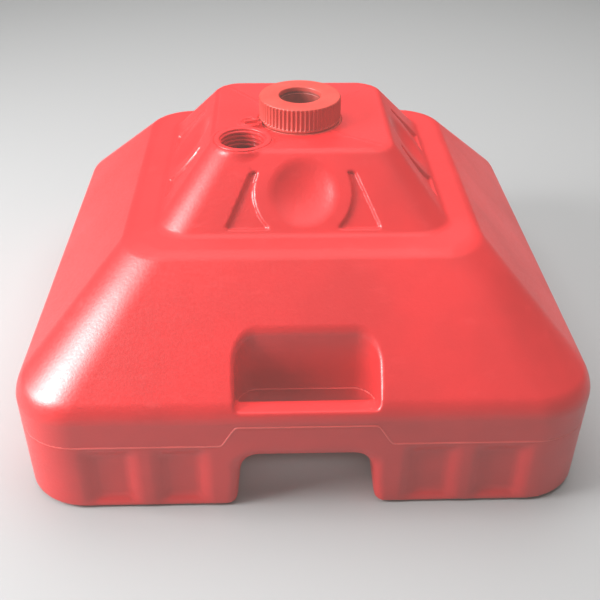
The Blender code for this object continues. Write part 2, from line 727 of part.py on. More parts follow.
def make_vent():
    """Vent plug with a finger bar, turned down on a flat seal in its recess."""
    flat_ring("vent_seal", VENT_SHANK_R + FIT, VENT_HEAD_R - FIT, VENT_SEAL_Z, VENT_SEAL_Z + SEAL_THICK,
              plastic("vent rubber", BLACK_RUBBER, 0.7), VENT_AT, SMALL_STEPS)
    top = VENT_HEAD_Z + VENT_HEAD
    foot = VENT_HEAD_Z - VENT_SHANK
    plug = turned("vent_plug", [
        (0, top), (VENT_HEAD_R - EDGE, top), (VENT_HEAD_R, top - EDGE), (VENT_HEAD_R, VENT_HEAD_Z),
        (VENT_SHANK_R, VENT_HEAD_Z), (VENT_SHANK_R, foot + EDGE), (VENT_SHANK_R - EDGE, foot), (0, foot),
    ], plastic("vent red", RED, 0.4), VENT_AT, SMALL_STEPS)
    length, width, height = VENT_BAR
    place_at = Matrix.Translation((*VENT_AT, 0)) @ Matrix.Rotation(VENT_BAR_TURN, 4, "Z")
    bar = [
        [(x * (length / 2 - inset), y * (width / 2 - inset), z)
         for x, y in ((-1, -1), (1, -1), (1, 1), (-1, 1))]
        for inset, z in ((0, top - EDGE), (0, top + height - EDGE), (EDGE, top + height))
    ]
    boolean(plug, lofts("vent_bar", [moved(bar, place_at)]), "UNION")


clear_scene()
PARTS = new_collection("water_filled_barrier_base", False)
CUTTERS = new_collection("cutters", True)
SHARED = make_shared()
make_tank()
make_neck()
make_pole_tube()
make_clamp()
make_nut()
make_fill_neck()
make_vent()
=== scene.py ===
"""Looks of the water filled barrier base: a moulded red tank in two halves, its parting line, the collar nut
and neck that clamp a pole, the dry liner in the middle, and the filling mouth and vent plug beside it."""

import math

import bpy
import numpy as np
import openvdb
from mathutils import Matrix, Vector


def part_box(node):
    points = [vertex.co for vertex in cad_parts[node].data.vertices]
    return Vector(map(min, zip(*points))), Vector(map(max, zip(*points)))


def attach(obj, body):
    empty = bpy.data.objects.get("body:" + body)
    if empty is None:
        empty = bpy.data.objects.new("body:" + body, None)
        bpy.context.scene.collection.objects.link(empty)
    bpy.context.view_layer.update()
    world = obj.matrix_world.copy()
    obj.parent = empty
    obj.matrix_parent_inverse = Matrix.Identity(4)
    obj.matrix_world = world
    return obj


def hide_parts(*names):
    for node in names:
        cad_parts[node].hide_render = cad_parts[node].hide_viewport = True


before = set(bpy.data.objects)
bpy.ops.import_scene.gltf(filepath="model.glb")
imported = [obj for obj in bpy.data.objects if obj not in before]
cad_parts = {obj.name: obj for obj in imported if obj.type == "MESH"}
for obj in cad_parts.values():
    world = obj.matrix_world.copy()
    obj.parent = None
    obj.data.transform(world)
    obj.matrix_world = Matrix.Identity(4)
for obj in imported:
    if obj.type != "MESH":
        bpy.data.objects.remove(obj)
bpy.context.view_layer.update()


# ---------------------------------------------------------------------------------------------------------
# Studio. The camera stands in front and looks down at the base, a touch from the left. A wide soft box hangs
# over it and gives no shine. Of two small ones at its left front one lights it and one only adds shine to its
# rounded corners. A weak one stands far behind, and the room is a dim even white.

EYE = (-0.0253, -0.7716, 0.5871)
LOOK_DOWN = math.radians(35.0)
LOOK_RIGHT = math.radians(2.0)
LEAN = math.radians(0.495)
LENS = 51.58
HAZE = (0.052, 0.054, 0.048)
ROOM_LIGHT = 0.08
FLOOR_HALF, FLOOR_DROP = 6, 0.0005
FLOOR_PAINT = (0.38, 0.38, 0.38, 1)

level = math.cos(LOOK_DOWN)
forward = Vector((math.sin(LOOK_RIGHT) * level, math.cos(LOOK_RIGHT) * level, -math.sin(LOOK_DOWN)))
right = forward.cross(Vector((0, 0, 1))).normalized()
up = right.cross(forward)
lens = bpy.data.cameras.new("camera")
lens.lens = LENS
camera = bpy.data.objects.new("camera", lens)
axes = Matrix((
    right * math.cos(LEAN) + up * math.sin(LEAN), up * math.cos(LEAN) - right * math.sin(LEAN), -forward
)).transposed().to_4x4()
camera.matrix_world = Matrix.Translation(EYE) @ axes
bpy.context.scene.collection.objects.link(camera)
bpy.context.scene.camera = camera


def soft_box(name, place, target, size, power, shines=True, lights=True):
    lamp = bpy.data.lights.new(name, "AREA")
    lamp.shape = "RECTANGLE"
    lamp.size, lamp.size_y = size
    lamp.energy = power
    box = bpy.data.objects.new(name, lamp)
    box.location = place
    box.rotation_euler = (Vector(target) - Vector(place)).to_track_quat("-Z", "Y").to_euler()
    box.visible_glossy, box.visible_diffuse = shines, lights
    bpy.context.scene.collection.objects.link(box)


soft_box("left_light", (-1.28, -0.36, 0.80), (-0.15, -0.15, 0.15), (0.60, 0.60), 29)
soft_box("shine_light", (-1.16, -0.52, 0.95), (-0.12, -0.12, 0.20), (0.50, 0.50), 30, lights=False)
soft_box("back_light", (0.30, 1.70, 1.15), (0, 0, 0.2), (1.6, 0.9), 1.2)
soft_box("top_light", (0.00, 0.28, 1.65), (0, 0, 0.1), (2.2, 2.1), 51, shines=False)

world = bpy.data.worlds.new("room")
world.use_nodes = True
world.node_tree.nodes["Background"].inputs["Color"].default_value = (1, 1, 1, 1)
world.node_tree.nodes["Background"].inputs["Strength"].default_value = ROOM_LIGHT
bpy.context.scene.world = world
bpy.context.scene.view_settings.view_transform = "Standard"
bpy.context.scene.view_settings.use_curve_mapping = True
bpy.context.scene.view_settings.curve_mapping.black_level = [-share for share in HAZE]
bpy.context.scene.view_settings.curve_mapping.update()

floor_mesh = bpy.data.meshes.new("floor")
floor_corners = [(x * FLOOR_HALF, y * FLOOR_HALF, 0) for x, y in ((-1, -1), (1, -1), (1, 1), (-1, 1))]
floor_mesh.from_pydata(floor_corners, [], [(0, 1, 2, 3)])
floor = bpy.data.objects.new("floor", floor_mesh)
floor.location.z = -FLOOR_DROP
bpy.context.scene.collection.objects.link(floor)


class Field:
    """A number that varies over a surface: arithmetic on it adds Math nodes to its node tree."""

    def __init__(self, tree, socket):
        self.tree, self.socket = tree, socket

    def math(self, operation, *others, clamp=False):
        node = self.tree.nodes.new("ShaderNodeMath")
        node.operation, node.use_clamp = operation, clamp
        for slot, value in zip(node.inputs, (self, *others)):
            connect(self.tree, slot, value)
        return Field(self.tree, node.outputs[0])

    def __add__(self, other):
        return self.math("ADD", other)

    def __mul__(self, other):
        return self.math("MULTIPLY", other)

    def __sub__(self, other):
        return self.math("SUBTRACT", other)

    def __rsub__(self, other):
        return self * -1 + other

    __radd__, __rmul__ = __add__, __mul__

    def between(self, low, high):
        """0 at or below low, 1 at or above high, straight between."""
        return ((self - low) * (1 / (high - low))).math("ADD", 0, clamp=True)


def connect(tree, slot, value):
    if isinstance(value, Field):
        tree.links.new(value.socket, slot)
    elif value is not None:
        slot.default_value = value


class Finish:
    """A material on one Principled shader, with its patterns in the object's own coordinates."""

    def __init__(self, name):
        self.material = bpy.data.materials.new(name)
        self.material.use_nodes = True
        self.tree = self.material.node_tree
        self.shader = self.tree.nodes["Principled BSDF"]

    def node(self, kind, settings=None, inputs=None, output=0):
        node = self.tree.nodes.new("ShaderNode" + kind)
        for key, value in (settings or {}).items():
            setattr(node, key, value)
        for key, value in (inputs or {}).items():
            connect(self.tree, node.inputs[key], value)
        return Field(self.tree, node.outputs[output])

    def place(self, scale=(1, 1, 1), turn=(0, 0, 0)):
        where = self.node("TexCoord", output=3)
        return self.node("Mapping", inputs={"Vector": where, "Scale": scale, "Rotation": turn})

    def noise(self, scale, detail=2.0, rough=0.5, stretch=(1, 1, 1), turn=(0, 0, 0)):
        inputs = {"Vector": self.place(stretch, turn), "Scale": scale, "Detail": detail, "Roughness": rough}
        return self.node("TexNoise", inputs=inputs)

    def tint(self, factor, first, second):
        """A colour that goes from the first to the second as the factor goes from 0 to 1."""
        node = self.tree.nodes.new("ShaderNodeMix")
        node.data_type = "RGBA"
        for index, value in ((0, factor), (6, first), (7, second)):
            connect(self.tree, node.inputs[index], value)
        return Field(self.tree, node.outputs[2])

    def bump(self, height, distance, strength=1.0, below=None):
        inputs = {"Height": height, "Distance": distance, "Strength": strength, "Normal": below}
        return self.node("Bump", inputs=inputs)

    def set(self, **inputs):
        for key, value in inputs.items():
            connect(self.tree, self.shader.inputs[key.replace("_", " ")], value)


paper = Finish("floor white")
paper.set(Base_Color=FLOOR_PAINT, Roughness=0.9)
floor_mesh.materials.append(paper.material)


# ---------------------------------------------------------------------------------------------------------
# Red tank plastic. Polyethylene, satin, with the fine mottle that the mould's blasted face leaves, slow
# waves where the wall cooled unevenly and a few dull rubs.

TANK_RED = (0.80, 0.020, 0.024, 1)
TANK_RED_DEEP = (0.66, 0.014, 0.017, 1)
TANK_RED_PALE = (0.86, 0.046, 0.050, 1)


def tank_plastic(name, red=TANK_RED, deep=TANK_RED_DEEP):
    finish = Finish(name)
    clouds = finish.noise(9, 3, 0.55)
    mottle = finish.noise(420, 2, 0.6)
    grain = finish.noise(1500, 1, 0.5)
    waves = finish.noise(16, 2, 0.5)
    rubs = finish.noise(38, 4, 0.6, stretch=(1, 1, 3.2), turn=(0.3, 0.2, 0.5)).between(0.60, 0.74)
    colour = finish.tint(clouds.between(0.35, 0.65), red, deep)
    colour = finish.tint(rubs * 0.20, colour, TANK_RED_PALE)
    rough = 0.30 + mottle.between(0.3, 0.7) * 0.09 + clouds.between(0.3, 0.7) * 0.05 + rubs * 0.04
    relief = finish.bump(waves, 0.0007, 0.5)
    relief = finish.bump(mottle, 0.00014, 0.8, relief)
    relief = finish.bump(grain, 0.00008, 0.6, relief)
    finish.set(Base_Color=colour, Roughness=rough, Normal=relief, IOR=1.55)
    return finish.material


# ---------------------------------------------------------------------------------------------------------
# Tank. One hollow moulding with soft edges, cut at its parting line into the half above and the half below.
# Its skin is where a distance function is zero: rounded squares stacked to a profile, then the handles,
# panels, dishes and pockets taken out, each with its own edge radius, and the boss added.

base_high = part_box("tank_lower")[1]
top_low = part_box("tank_upper")[0]
BASE_HALF = base_high.x
SEAM_Z = top_low.z
SEAM_RISE = base_high.z - top_low.z
SEAM_FOOT_HALF = 0.072
SEAM_CREST_HALF = 0.060
WALL = 0.004
CORNER_R = 0.055
FOOT_R = 0.005
SHOULDER_Z = 0.1075
SHOULDER_SOFT = 0.0080
LEDGE_HALF, LEDGE_Z = 0.155, 0.2035
LEDGE_SOFT = 0.0045
LEDGE_CORNER_R = 0.040
TIER_HALF, TIER_Z = 0.130, 0.205
TIER_CORNER_R = 0.030
TIER_CREASE = 0.0025
TOP_HALF, TOP_Z = 0.0804, 0.264
TOP_CORNER_R = 0.022
TOP_SOFT = 0.0035
NECK_RING_R, NECK_PLANE_Z = 0.0433, 0.2588
CREASE_RISE, CREASE_WIDTH, CREASE_FADE = 0.0009, 0.0016, 8

WINDOW_HALF = 0.0602
WINDOW_CORNER_R = 0.019
WINDOW_EDGE = 0.0040
WELL_DRAFT = 0.08
WELL_FOOT_Z = 0.050
GRIP_BACK = 0.228
GRIP_EDGE = 0.0022
GRIP_TOP_Z = 0.107
GRIP_ROUND, GRIP_END_R = 0.008, 0.005
PASSAGE_BACK = 0.2016
SEAM_CLIMB_Y = PASSAGE_BACK - WALL - 0.006
NOTCH_HALF = 0.061
NOTCH_LEAN = 0.096
NOTCH_Z = 0.0538
NOTCH_CORNER_R = 0.016
NOTCH_EDGE, NOTCH_BROW = 0.0095, 0.016
NOTCH_CEILING = ((0.1516, 0.001), (0.1976, NOTCH_Z))
NOTCH_CEILING_R, NOTCH_JOIN = 0.012, 0.010
EDGE_HEIGHTS = (0.040, 0.054, 0.076, 0.098, 0.112, 0.124)
EDGE_RADII = (NOTCH_EDGE, NOTCH_BROW, NOTCH_BROW, GRIP_EDGE, GRIP_EDGE, WINDOW_EDGE)

PANEL_CENTRES = (0.1075, 0.1683)
PANEL_HALF = 0.0226
PANEL_DEPTH = 0.005
PANEL_DRAFT = 1.7
PANEL_TOP_Z, PANEL_FOOT_Z = 0.0685, 0.004
PANEL_EDGE, PANEL_CORNER_R, PANEL_FLOOR_R = 0.0025, 0.003, 0.0020

DISH_R, DISH_DEPTH, DISH_EDGE = 0.0285, 0.006, 0.0015
POCKET_RING_R = 0.0435
POCKET_DEPTH = 0.0030
POCKET_TOP, POCKET_FOOT = (0.0455, 0.0185), (0.0675, -0.0320)
POCKET_EDGE, POCKET_FLOOR_R = 0.0018, 0.0014
POCKET_CORNER_R, POCKET_TIP_R = 0.003, 0.002

fill_low, fill_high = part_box("fill_neck")
vent_low, vent_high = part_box("vent_seal")
FILL_AT = ((fill_low.x + fill_high.x) / 2, (fill_low.y + fill_high.y) / 2)
VENT_AT = ((vent_low.x + vent_high.x) / 2, (vent_low.y + vent_high.y) / 2)
BOSS_Z, BOSS_FOOT_Z, BOSS_DRAFT = 0.2631, 0.24, 0.12
FILL_BOSS_R, VENT_BOSS_R = 0.0276, 0.0103
BOSS_WAIST, BOSS_EDGE, BOSS_FILLET = 0.006, 0.0010, 0.0030
SEAT_R, SEAT_Z, SEAT_EDGE = 0.0398, 0.2563, 0.0004
PAD_R, PAD_DROP, PAD_HALF = 0.046, 0.001, 0.003
CORE_R, CORE_Z, CORE_HALF = 0.0095, 0.2532, 0.0055
FOOT_RING_R, FOOT_RING_Z, FOOT_RING_HALF = 0.0262, 0.010, 0.006
NECK_HOLE_R, NECK_HOLE_Z = 0.0335, 0.226
TUBE_HOLE_R, TUBE_HOLE_Z = 0.0227, 0.0042
FILL_SEAT_R, FILL_SEAT_Z, FILL_SEAT_EDGE = 0.0263, 0.2626, 0.0003
FILL_HOLE_R, FILL_HOLE_Z = 0.0240, 0.2226
VENT_SEAT_R, VENT_SEAT_Z, VENT_SEAT_EDGE = 0.0085, 0.2586, 0.0008
VENT_HOLE_R, VENT_HOLE_Z = 0.0059, 0.2286
HALF_GAP = 0.00015
CELL, BLOCK, OFF_GRID = 0.0016, 8, 3.37
SHELL_TRIANGLES, SHARP_ANGLE = 170000, 40


def rounded_max(a, b, radius):
    """Distance to the overlap of two regions, the edge where they meet rounded by the radius."""
    outer = np.sqrt(np.maximum(a + radius, 0) ** 2 + np.maximum(b + radius, 0) ** 2)
    return np.minimum(np.maximum(a, b), -radius) + outer


def rounded_min(a, b, radius):
    """Distance to the union of two regions, the corner between them filled by the radius."""
    return -rounded_max(-a, -b, radius)


def line_side(a, b, start, end):
    """Signed distance of (a, b) from the line through two points, positive on the line's right."""
    run, rise = end[0] - start[0], end[1] - start[1]
    return ((a - start[0]) * rise - (b - start[1]) * run) / math.hypot(run, rise)


def plan_half(a, b, radius):
    """Half width of the square with this corner radius whose outline passes through (a, b).

    On a corner's arc it solves (a - s)^2 + (b - s)^2 = radius^2 for the arc's centre (s, s)."""
    spread = np.abs(a - b)
    centre = (a + b - np.sqrt(np.maximum(2 * radius ** 2 - spread ** 2, 0))) / 2
    return np.where(spread < radius, centre + radius, np.maximum(a, b))


def seam_height(x, y):
    """The parting line is level, and climbs over the grips of the front and the back."""
    climb = np.clip((SEAM_FOOT_HALF - np.abs(x)) / (SEAM_FOOT_HALF - SEAM_CREST_HALF), 0, 1)
    return SEAM_Z + SEAM_RISE * climb * (np.abs(y) > SEAM_CLIMB_Y)


def tiers(a, b, z):
    """The stacked tiers: walls, lower slope and ledge, then the upper tier, whose dished top has a thin
    raised crease along each diagonal."""
    half = plan_half(a, b, np.interp(z, (SHOULDER_Z, LEDGE_Z), (CORNER_R, LEDGE_CORNER_R)))
    block = rounded_max(
        half - BASE_HALF, line_side(half, z, (BASE_HALF, SHOULDER_Z), (LEDGE_HALF, LEDGE_Z)), SHOULDER_SOFT
    )
    block = rounded_max(block, line_side(half, z, (LEDGE_HALF, LEDGE_Z), (TIER_HALF, TIER_Z)), LEDGE_SOFT)
    block = rounded_max(block, -z, FOOT_R)
    half = plan_half(a, b, np.interp(z, (TIER_Z, TOP_Z), (TIER_CORNER_R, TOP_CORNER_R)))
    sag = (TOP_HALF - np.maximum(a, b)) / (TOP_HALF - NECK_RING_R)
    crease = CREASE_RISE * np.exp(-((a - b) / CREASE_WIDTH) ** 2) * np.clip(sag * CREASE_FADE, 0, 1)
    top = z - TOP_Z + (TOP_Z - NECK_PLANE_Z) * np.clip(sag, 0, 1) - crease
    tier = rounded_max(line_side(half, z, (TIER_HALF, TIER_Z), (TOP_HALF, TOP_Z)), top, TOP_SOFT)
    return rounded_min(block, np.maximum(tier, SHOULDER_Z - z), TIER_CREASE)


def handle_room(a, b, z):
    """Space for a hand: the well behind the grip, the mouth over it and the notch under it."""
    half = WINDOW_HALF - WELL_DRAFT * np.maximum(GRIP_TOP_Z - z, 0)
    room = rounded_max(a - half, PASSAGE_BACK - b, WINDOW_CORNER_R)
    room = rounded_max(room, rounded_min(b - GRIP_BACK, GRIP_TOP_Z - z, GRIP_ROUND), GRIP_END_R)
    room = np.maximum(room, WELL_FOOT_Z - z)
    side = a - NOTCH_HALF + NOTCH_LEAN * z
    notch = rounded_max(side, z - NOTCH_Z, NOTCH_CORNER_R)
    notch = rounded_max(notch, -line_side(b, z, *NOTCH_CEILING), NOTCH_CEILING_R)
    return rounded_min(room, notch, NOTCH_JOIN)


def wall_panels(along, out, z):
    """Sunk panels of a lower wall, their sides drafted."""
    draft = PANEL_DRAFT * (BASE_HALF - out)
    sunk = None
    for centre in PANEL_CENTRES:
        side = (np.abs(along - centre) - PANEL_HALF + draft) / math.hypot(1, PANEL_DRAFT)
        ends = np.maximum(z - PANEL_TOP_Z + draft, PANEL_FOOT_Z - z + draft) / math.hypot(1, PANEL_DRAFT)
        panel = rounded_max(side, ends, PANEL_CORNER_R)
        panel = rounded_max(panel, BASE_HALF - PANEL_DEPTH - out, PANEL_FLOOR_R)
        sunk = panel if sunk is None else np.minimum(sunk, panel)
    return sunk


def tier_marks(along, out, z):
    """The ball-shaped dish of an upper face and the three-sided pockets beside it."""
    rise = math.hypot(TIER_HALF - TOP_HALF, TOP_Z - TIER_Z)
    slope = ((TOP_HALF - TIER_HALF) / rise, (TOP_Z - TIER_Z) / rise)
    across = out - (TIER_HALF + TOP_HALF) / 2
    height = z - (TIER_Z + TOP_Z) / 2
    climb = across * slope[0] + height * slope[1]
    lift = across * slope[1] - height * slope[0]
    ball = (DISH_R ** 2 + DISH_DEPTH ** 2) / (2 * DISH_DEPTH)
    reach = np.hypot(along, climb)
    dish = np.hypot(reach, lift - ball + DISH_DEPTH) - ball
    side = line_side(along, climb, POCKET_FOOT, POCKET_TOP)
    pocket = rounded_max(POCKET_RING_R - reach, side, POCKET_CORNER_R)
    pocket = rounded_max(pocket, POCKET_FOOT[1] - climb, POCKET_CORNER_R)
    pocket = rounded_max(pocket, climb - POCKET_TOP[1], POCKET_TIP_R)
    pocket = rounded_max(pocket, -lift - POCKET_DEPTH, POCKET_FLOOR_R)
    return dish, pocket


def outer_skin(x, y, z):
    """The tiers less handles, panels, dishes and pockets; the handles' edge radius changes with height."""
    a, b = np.abs(x), np.abs(y)
    along, out = np.minimum(a, b), np.maximum(a, b)
    skin = tiers(a, b, z)
    skin = rounded_max(skin, -handle_room(a, b, z), np.interp(z, EDGE_HEIGHTS, EDGE_RADII))
    skin = rounded_max(skin, -wall_panels(along, out, z), PANEL_EDGE)
    dish, pocket = tier_marks(along, out, z)
    skin = rounded_max(skin, -dish, DISH_EDGE)
    return rounded_max(skin, -pocket, POCKET_EDGE)


def tank_distance(x, y, z):
    """The whole hollow tank: skin, figure-of-eight boss, cavity one wall inside, and every hole."""
    skin = outer_skin(x, y, z)
    middle = np.hypot(x, y)
    fill = np.hypot(x - FILL_AT[0], y - FILL_AT[1])
    vent = np.hypot(x - VENT_AT[0], y - VENT_AT[1])
    plan = rounded_min(fill - FILL_BOSS_R, vent - VENT_BOSS_R, BOSS_WAIST) + BOSS_DRAFT * (z - BOSS_Z)
    boss = rounded_max(np.maximum(plan, BOSS_FOOT_Z - z), z - BOSS_Z, BOSS_EDGE)
    body = rounded_min(skin, boss, BOSS_FILLET)
    body = np.maximum(body, -(skin + WALL))
    pad = np.maximum(middle - PAD_R, np.abs(z - SEAT_Z + PAD_DROP) - PAD_HALF)
    core = np.maximum(vent - CORE_R, np.abs(z - CORE_Z) - CORE_HALF)
    ring = np.maximum(middle - FOOT_RING_R, np.abs(z - FOOT_RING_Z) - FOOT_RING_HALF)
    body = np.minimum(np.minimum(body, pad), np.minimum(core, ring))
    body = rounded_max(body, -np.maximum(middle - SEAT_R, SEAT_Z - z), SEAT_EDGE)
    body = np.maximum(body, -np.maximum(middle - NECK_HOLE_R, NECK_HOLE_Z - z))
    body = np.maximum(body, -np.maximum(middle - TUBE_HOLE_R, TUBE_HOLE_Z - z))
    body = rounded_max(body, -np.maximum(fill - FILL_SEAT_R, FILL_SEAT_Z - z), FILL_SEAT_EDGE)
    body = np.maximum(body, -np.maximum(fill - FILL_HOLE_R, FILL_HOLE_Z - z))
    body = rounded_max(body, -np.maximum(vent - VENT_SEAT_R, VENT_SEAT_Z - z), VENT_SEAT_EDGE)
    return np.maximum(body, -np.maximum(vent - VENT_HOLE_R, VENT_HOLE_Z - z))


def sample_near_zero(distance, corner, counts, cell, block):
    """Distances on a grid: coarse blocks first, then every point of the blocks that the skin may cross."""
    starts = [np.arange(0, count, block) for count in counts]
    centres = np.meshgrid(*[corner[i] + (starts[i] + block / 2) * cell for i in range(3)], indexing="ij")
    coarse = distance(*centres)
    near = np.argwhere(np.abs(coarse) < block * cell * 1.25)
    values = np.sign(coarse).astype(np.float32) * 3 * cell
    values = np.kron(values, np.ones((block, block, block), np.float32))
    inner = np.stack(np.meshgrid(*[np.arange(block)] * 3, indexing="ij"), -1).reshape(-1, 3)
    for part in np.array_split(near, max(1, len(near) // 4000)):
        index = (part[:, None, :] * block + inner).reshape(-1, 3)
        points = np.asarray(corner) + index * cell
        values[tuple(index.T)] = distance(*points.T.astype(np.float32))
    return values


def settle(points, distance, rounds=3, step=0.0001):
    """Each point moved along the distance's slope onto the zero level."""
    for _ in range(rounds):
        level = distance(*points.T)
        slope = np.stack([
            distance(*(points + shift).T) - distance(*(points - shift).T) for shift in np.eye(3) * step
        ], 1) / (2 * step)
        move = level[:, None] * slope / np.maximum((slope ** 2).sum(1, keepdims=True), 0.25)
        length = np.linalg.norm(move, axis=1, keepdims=True)
        points = points - move * np.minimum(1, 0.5 * CELL / np.maximum(length, 1e-9))
    return points


def mesh_object(name, points, faces, material, smooth_angle):
    """An object that shades smoothly wherever its faces meet at less than the angle, in degrees."""
    mesh = bpy.data.meshes.new(name)
    mesh.from_pydata(points.tolist(), [], faces)
    mesh.update()
    mesh.shade_smooth()
    mesh.set_sharp_from_angle(angle=math.radians(smooth_angle))
    mesh.materials.append(material)
    obj = bpy.data.objects.new(name, mesh)
    bpy.context.scene.collection.objects.link(obj)
    return obj


def applied(obj, kind, **settings):
    """The object's mesh becomes what this modifier makes of it."""
    modifier = obj.modifiers.new(kind.lower(), kind)
    for key, value in settings.items():
        setattr(modifier, key, value)
    mesh = bpy.data.meshes.new_from_object(obj.evaluated_get(bpy.context.evaluated_depsgraph_get()))
    obj.modifiers.clear()
    obj.data = mesh


# An uneven number of cells off, so that no flat face lies on a plane of the grid.
corner = np.array((-BASE_HALF, -BASE_HALF, 0)) - OFF_GRID * CELL
span = np.array((2 * BASE_HALF, 2 * BASE_HALF, TOP_Z)) + 8 * CELL
counts = np.ceil(span / CELL / BLOCK).astype(int) * BLOCK
whole = sample_near_zero(tank_distance, corner, counts, CELL, BLOCK)
grid_x, grid_y, grid_z = [corner[i] + np.arange(whole.shape[i], dtype=np.float32) * CELL for i in range(3)]
seam = seam_height(grid_x[:, None], grid_y[None, :])[:, :, None]


def tank_half(name, node, side):
    """The tank's material on one side of the parting line: side is 1 above it and -1 below."""
    def half_distance(x, y, z):
        return np.maximum(tank_distance(x, y, z), side * (seam_height(x, y) - z) + HALF_GAP)

    field = np.maximum(whole, side * (seam - grid_z) + HALF_GAP).astype(np.float32)
    grid = openvdb.FloatGrid(1.0)
    grid.copyFromArray(field)
    points, quads = grid.convertToQuads(0.0)
    points = settle(corner + points.astype(float) * CELL, half_distance)
    half = mesh_object(name, points, quads[:, ::-1].tolist(), tank_plastic(name + " red"), SHARP_ANGLE)
    applied(half, "DECIMATE", ratio=min(1, SHELL_TRIANGLES / (2 * len(half.data.polygons))))
    half.data.shade_smooth()
    half.data.set_sharp_from_angle(angle=math.radians(SHARP_ANGLE))
    applied(half, "WEIGHTED_NORMAL", keep_sharp=True, weight=50)
    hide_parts(node)
    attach(half, "tank")


tank_half("tank_top_skin", "tank_upper", 1)
tank_half("tank_foot_skin", "tank_lower", -1)


# ---------------------------------------------------------------------------------------------------------
# Parting bead. The thin raised line that the two halves of the mould leave in the tank's plastic: once
# round the walls, climbing over the grips, and once round the inside of each hand hole. Its plastic is
# painted a paler pink than the tank's, a painted highlight along the line.

BEAD_R = 0.0011
BEAD_SUNK = 0.0007
WALL_STEP, HOLE_STEP = 0.002, 0.0015
GRIP_CORNER_R = 0.006
# Paler pink than the tank's red: a painted highlight, so that the thin bead reads as a lit line.
BEAD_HIGHLIGHT_RED = (0.90, 0.13, 0.12, 1)
BEAD_HIGHLIGHT_RED_DEEP = (0.84, 0.07, 0.06, 1)
HAND_HOLE_Z = SEAM_Z + SEAM_RISE


def outline(corners, radii, step):
    """Points at even steps round a polygon whose corners are rounded, each by its own radius."""
    corners = [np.array(corner, float) for corner in corners]
    trace = []
    for i, corner in enumerate(corners):
        back = corners[i - 1] - corner
        ahead = corners[(i + 1) % len(corners)] - corner
        back, ahead = back / np.linalg.norm(back), ahead / np.linalg.norm(ahead)
        half_turn = math.acos(float(back @ ahead)) / 2
        cut = radii[i] / math.tan(half_turn)
        share = np.linspace(0, 1, 17)[:, None]
        start, end = corner + back * cut, corner + ahead * cut
        bent = (1 - share) ** 2 * start + 2 * share * (1 - share) * corner + share ** 2 * end
        middle = corner + (back + ahead) / np.linalg.norm(back + ahead) * radii[i] / math.sin(half_turn)
        spoke = bent - middle
        trace.append(middle + spoke / np.linalg.norm(spoke, axis=1)[:, None] * radii[i])
    trace = np.vstack(trace + [trace[0][:1]])
    reach = np.concatenate(([0], np.cumsum(np.linalg.norm(np.diff(trace, axis=0), axis=1))))
    marks = np.linspace(0, reach[-1], max(8, round(reach[-1] / step)), endpoint=False)
    return np.stack([np.interp(marks, reach, trace[:, k]) for k in range(trace.shape[1])], 1)


def full_turn(columns):
    return np.arange(columns) * 2 * np.pi / columns


def bead_grid(path, radius, sides=8):
    """A circle carried along a closed path, square to it; rows follow the path, columns go round it."""
    ahead = np.roll(path, -1, 0) - np.roll(path, 1, 0)
    ahead /= np.linalg.norm(ahead, axis=1)[:, None]
    across = np.cross(ahead, (0, 0, 1))
    across /= np.linalg.norm(across, axis=1)[:, None]
    over = np.cross(across, ahead)
    turn = full_turn(sides)
    return path[:, None] + radius * (
        across[:, None] * np.cos(turn)[:, None] + over[:, None] * np.sin(turn)[:, None]
    )


def woven(points, rows_close=True, columns_close=True):
    """Faces over a grid of points; where rows or columns don't close, both ends get a flat cap."""
    rows, columns = points.shape[:2]
    index = np.arange(rows * columns).reshape(rows, columns)
    around = np.vstack((index, index[:1])) if rows_close else index
    around = np.hstack((around, around[:, :1])) if columns_close else around
    faces = np.stack((around[:-1, :-1], around[:-1, 1:], around[1:, 1:], around[1:, :-1]), -1)
    faces = faces.reshape(-1, 4).tolist()
    if not rows_close:
        faces += [index[0, ::-1].tolist(), index[-1].tolist()]
    if not columns_close:
        faces += [index[:, 0].tolist(), index[::-1, -1].tolist()]
    return points.reshape(-1, 3), faces


def piece(name, shells, material, smooth_angle):
    """One object from closed shells of points and faces, each turned so that it faces outward."""
    points, faces = [], []
    for shell, polygons in shells:
        fans = np.array([(f[0], f[k], f[k + 1]) for f in polygons for k in range(1, len(f) - 1)])
        inside_out = np.linalg.det(shell[fans] - shell.mean(0)).sum() < 0
        start = sum(len(block) for block in points)
        faces += [[start + v for v in (reversed(f) if inside_out else f)] for f in polygons]
        points.append(shell)
    return mesh_object(name, np.vstack(points), faces, material, smooth_angle)


half = BASE_HALF - BEAD_SUNK
wall_line = outline([(half, -half), (half, half), (-half, half), (-half, -half)], [CORNER_R] * 4, WALL_STEP)
height = seam_height(wall_line[:, 0], wall_line[:, 1])
height = (np.roll(height, 1) + 2 * height + np.roll(height, -1)) / 4
beads = [np.column_stack((wall_line, height))]
half = WINDOW_HALF - WELL_DRAFT * (GRIP_TOP_Z - HAND_HOLE_Z) + BEAD_SUNK
for side in (-1, 1):
    corners = [(-half, PASSAGE_BACK - BEAD_SUNK), (half, PASSAGE_BACK - BEAD_SUNK),
               (half, GRIP_BACK + BEAD_SUNK), (-half, GRIP_BACK + BEAD_SUNK)]
    loop = outline(corners, [WINDOW_CORNER_R, WINDOW_CORNER_R, GRIP_CORNER_R, GRIP_CORNER_R], HOLE_STEP)
    beads.append(np.column_stack((loop[:, 0], side * loop[:, 1], np.full(len(loop), HAND_HOLE_Z))))
# The bead's plastic takes the paler painted highlight colours.
bead_highlight_plastic = tank_plastic("bead painted highlight red", BEAD_HIGHLIGHT_RED, BEAD_HIGHLIGHT_RED_DEEP)
bead = piece("parting_bead", [woven(bead_grid(path, BEAD_R)) for path in beads], bead_highlight_plastic, SHARP_ANGLE)
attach(bead, "tank")


# ---------------------------------------------------------------------------------------------------------
# Collar nut. Moulded red plastic with fine upright ribs between a plain rim and a rounded flat top; a
# coarse thread inside winds it down the neck.

